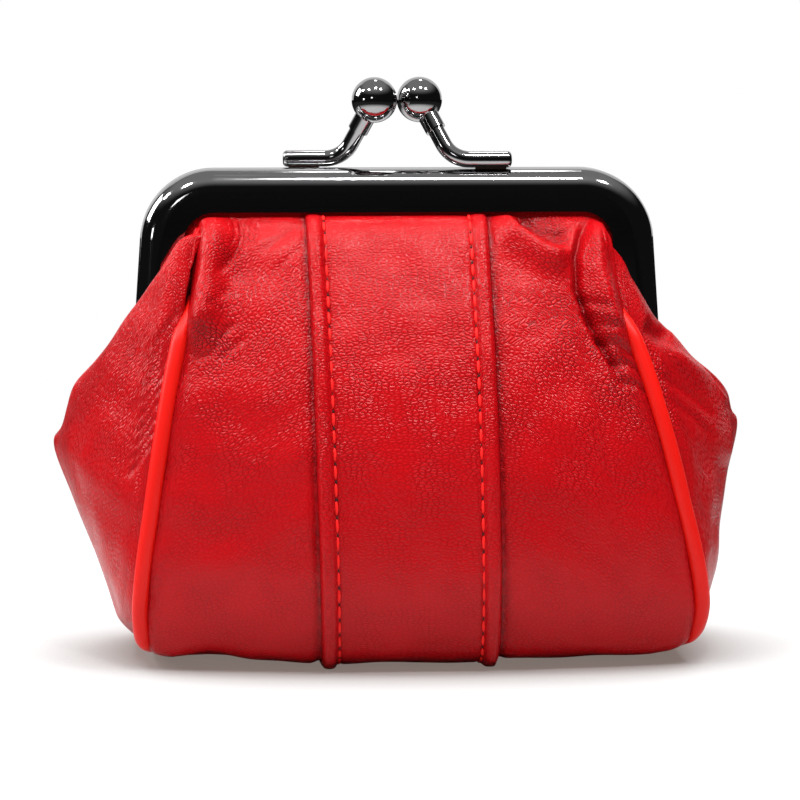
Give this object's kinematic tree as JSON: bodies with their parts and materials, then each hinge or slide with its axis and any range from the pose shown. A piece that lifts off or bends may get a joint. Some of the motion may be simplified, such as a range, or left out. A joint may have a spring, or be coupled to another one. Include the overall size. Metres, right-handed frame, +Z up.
{
  "type": "kiss lock frame purse",
  "caption": "Small leather coin purse with a hinged arched metal frame, a kiss lock of two crossing balls, topstitched strips, piping and side gussets.",
  "frame": {"origin": "on the floor plane under the middle of the purse", "axes": "+Z up towards the clasp, +X towards the right gusset as seen from the front, front towards -Y"},
  "size_m": [0.1119, 0.0554, 0.0939],
  "materials": {
    "black_nickel": "polished black nickel",
    "braze": "dull copper braze under dark plating",
    "red_leather": "soft satin, fine pebble grain",
    "piping": "smooth bright red cord",
    "lining": "thin dark woven lining",
    "packing_cord": "twisted paper cord"
  },
  "bodies": {
    "pouch": {"front_center_panel": "red_leather", "front_left_panel": "red_leather", "front_left_gusset": "red_leather", "front_left_piping": "piping", "front_right_panel": "red_leather", "front_right_gusset": "red_leather", "front_right_piping": "piping", "front_lining": "lining", "rear_center_panel": "red_leather", "rear_left_panel": "red_leather", "rear_left_gusset": "red_leather", "rear_left_piping": "piping", "rear_right_panel": "red_leather", "rear_right_gusset": "red_leather", "rear_right_piping": "piping", "rear_lining": "lining"},
    "front_frame": {"front_frame": "black_nickel", "front_packing_cord": "packing_cord", "front_stem": "black_nickel", "front_ball": "black_nickel", "front_braze": "braze"},
    "rear_frame": {"rear_frame": "black_nickel", "rear_packing_cord": "packing_cord", "rear_stem": "black_nickel", "rear_ball": "black_nickel", "rear_braze": "braze", "left_rivet": "black_nickel", "right_rivet": "black_nickel"}
  },
  "joints": [
    {"name": "front_frame_hinge", "type": "hinge", "parent": "pouch", "child": "front_frame", "pos_m": [0, 0, 0.0428], "axis": [1, 0, 0], "range_deg": [0, 35], "deforming": ["front_center_panel", "front_left_panel", "front_left_gusset", "front_left_piping", "front_right_panel", "front_right_gusset", "front_right_piping", "front_lining"]},
    {"name": "rear_frame_hinge", "type": "hinge", "parent": "pouch", "child": "rear_frame", "pos_m": [0, 0, 0.0428], "axis": [1, 0, 0], "range_deg": [-35, 0], "deforming": ["rear_center_panel", "rear_left_panel", "rear_left_gusset", "rear_left_piping", "rear_right_panel", "rear_right_gusset", "rear_right_piping", "rear_lining"]}
  ],
  "couplings": [
    {"joint": "rear_frame_hinge", "follows": "front_frame_hinge", "ratio": -1}
  ]
}
